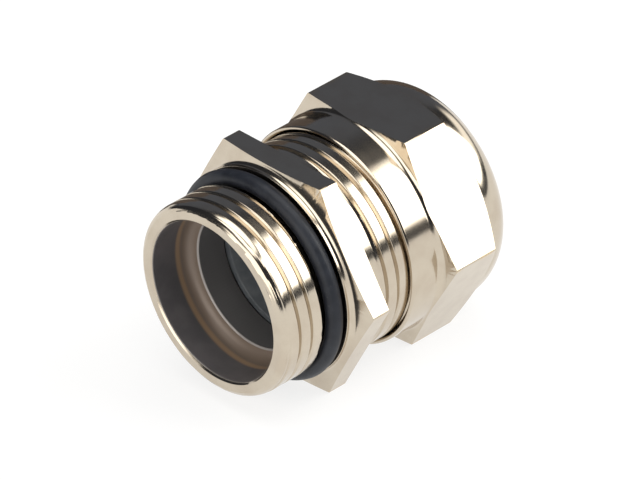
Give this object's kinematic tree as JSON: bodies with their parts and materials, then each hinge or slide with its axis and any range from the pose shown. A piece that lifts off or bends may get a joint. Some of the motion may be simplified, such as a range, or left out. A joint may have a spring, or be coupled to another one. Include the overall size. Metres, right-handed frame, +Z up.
{
  "type": "cable gland",
  "caption": "Nickel-plated brass cable gland with a threaded entry, O-ring, hexagon body, inner seal, clamping cage and domed hexagon nut that screws on behind",
  "frame": {"origin": "bottom centre of the bounding box, on the surface that the hexagon flats lie on", "axes": "+Y along the gland's axis from the entry thread to the domed nut, +Z up through a pair of hexagon flats, +X towards a pair of hexagon corners"},
  "size_m": [0.0266, 0.0296, 0.023],
  "materials": {
    "plated_brass": "bright nickel plating over brass, lightly worn on the edges",
    "seal_rubber": "black nitrile rubber, satin",
    "cage_plastic": "dark grey moulded polyamide",
    "ring_plastic": "natural moulded polyamide"
  },
  "bodies": {
    "body": {"gland_body": "plated_brass", "o_ring": "seal_rubber", "seal_insert": "seal_rubber", "cage_ring": "cage_plastic"},
    "slip_ring": {"slip_ring": "ring_plastic"},
    "nut": {"dome_nut": "plated_brass"},
    "finger_01": {"clamp_finger_01": "cage_plastic"},
    "finger_02": {"clamp_finger_02": "cage_plastic"},
    "finger_03": {"clamp_finger_03": "cage_plastic"},
    "finger_04": {"clamp_finger_04": "cage_plastic"},
    "finger_05": {"clamp_finger_05": "cage_plastic"},
    "finger_06": {"clamp_finger_06": "cage_plastic"},
    "finger_07": {"clamp_finger_07": "cage_plastic"},
    "finger_08": {"clamp_finger_08": "cage_plastic"},
    "finger_09": {"clamp_finger_09": "cage_plastic"},
    "finger_10": {"clamp_finger_10": "cage_plastic"},
    "finger_11": {"clamp_finger_11": "cage_plastic"},
    "finger_12": {"clamp_finger_12": "cage_plastic"},
    "finger_13": {"clamp_finger_13": "cage_plastic"},
    "finger_14": {"clamp_finger_14": "cage_plastic"}
  },
  "joints": [
    {"name": "ring_slide", "type": "slide", "parent": "body", "child": "slip_ring", "axis": [0, 1, 0], "range_m": [-0.0045, 0.0015]},
    {"name": "nut_turn", "type": "hinge", "parent": "slip_ring", "child": "nut", "pos_m": [0, 0.0071, 0.0115], "axis": [0, 1, 0], "range_deg": [-1081.2, 361.2]},
    {"name": "finger_bend_01", "type": "hinge", "parent": "body", "child": "finger_01", "pos_m": [0.00838, 0.0011, 0.0115], "axis": [0, 0, 1], "range_deg": [-3.1, 9.2]},
    {"name": "finger_bend_02", "type": "hinge", "parent": "body", "child": "finger_02", "pos_m": [0.00755, 0.0011, 0.01513], "axis": [-0.4339, 0, 0.901], "range_deg": [-3.1, 9.2]},
    {"name": "finger_bend_03", "type": "hinge", "parent": "body", "child": "finger_03", "pos_m": [0.00522, 0.0011, 0.01805], "axis": [-0.7818, 0, 0.6235], "range_deg": [-3.1, 9.2]},
    {"name": "finger_bend_04", "type": "hinge", "parent": "body", "child": "finger_04", "pos_m": [0.00186, 0.0011, 0.01967], "axis": [-0.9749, 0, 0.2225], "range_deg": [-3.1, 9.2]},
    {"name": "finger_bend_05", "type": "hinge", "parent": "body", "child": "finger_05", "pos_m": [-0.00186, 0.0011, 0.01967], "axis": [-0.9749, 0, -0.2225], "range_deg": [-3.1, 9.2]},
    {"name": "finger_bend_06", "type": "hinge", "parent": "body", "child": "finger_06", "pos_m": [-0.00522, 0.0011, 0.01805], "axis": [-0.7818, 0, -0.6235], "range_deg": [-3.1, 9.2]},
    {"name": "finger_bend_07", "type": "hinge", "parent": "body", "child": "finger_07", "pos_m": [-0.00755, 0.0011, 0.01513], "axis": [-0.4339, 0, -0.901], "range_deg": [-3.1, 9.2]},
    {"name": "finger_bend_08", "type": "hinge", "parent": "body", "child": "finger_08", "pos_m": [-0.00838, 0.0011, 0.0115], "axis": [0, 0, -1], "range_deg": [-3.1, 9.2]},
    {"name": "finger_bend_09", "type": "hinge", "parent": "body", "child": "finger_09", "pos_m": [-0.00755, 0.0011, 0.00787], "axis": [0.4339, 0, -0.901], "range_deg": [-3.1, 9.2]},
    {"name": "finger_bend_10", "type": "hinge", "parent": "body", "child": "finger_10", "pos_m": [-0.00522, 0.0011, 0.00495], "axis": [0.7818, 0, -0.6235], "range_deg": [-3.1, 9.2]},
    {"name": "finger_bend_11", "type": "hinge", "parent": "body", "child": "finger_11", "pos_m": [-0.00186, 0.0011, 0.00333], "axis": [0.9749, 0, -0.2225], "range_deg": [-3.1, 9.2]},
    {"name": "finger_bend_12", "type": "hinge", "parent": "body", "child": "finger_12", "pos_m": [0.00186, 0.0011, 0.00333], "axis": [0.9749, 0, 0.2225], "range_deg": [-3.1, 9.2]},
    {"name": "finger_bend_13", "type": "hinge", "parent": "body", "child": "finger_13", "pos_m": [0.00522, 0.0011, 0.00495], "axis": [0.7818, 0, 0.6235], "range_deg": [-3.1, 9.2]},
    {"name": "finger_bend_14", "type": "hinge", "parent": "body", "child": "finger_14", "pos_m": [0.00755, 0.0011, 0.00787], "axis": [0.4339, 0, 0.901], "range_deg": [-3.1, 9.2]}
  ],
  "couplings": [
    {"joint": "nut_turn", "follows": "ring_slide", "rad_per_m": 4188.8},
    {"joint": "finger_bend_01", "follows": "ring_slide", "rad_per_m": -35.488},
    {"joint": "finger_bend_02", "follows": "ring_slide", "rad_per_m": -35.488},
    {"joint": "finger_bend_03", "follows": "ring_slide", "rad_per_m": -35.488},
    {"joint": "finger_bend_04", "follows": "ring_slide", "rad_per_m": -35.488},
    {"joint": "finger_bend_05", "follows": "ring_slide", "rad_per_m": -35.488},
    {"joint": "finger_bend_06", "follows": "ring_slide", "rad_per_m": -35.488},
    {"joint": "finger_bend_07", "follows": "ring_slide", "rad_per_m": -35.488},
    {"joint": "finger_bend_08", "follows": "ring_slide", "rad_per_m": -35.488},
    {"joint": "finger_bend_09", "follows": "ring_slide", "rad_per_m": -35.488},
    {"joint": "finger_bend_10", "follows": "ring_slide", "rad_per_m": -35.488},
    {"joint": "finger_bend_11", "follows": "ring_slide", "rad_per_m": -35.488},
    {"joint": "finger_bend_12", "follows": "ring_slide", "rad_per_m": -35.488},
    {"joint": "finger_bend_13", "follows": "ring_slide", "rad_per_m": -35.488},
    {"joint": "finger_bend_14", "follows": "ring_slide", "rad_per_m": -35.488}
  ]
}
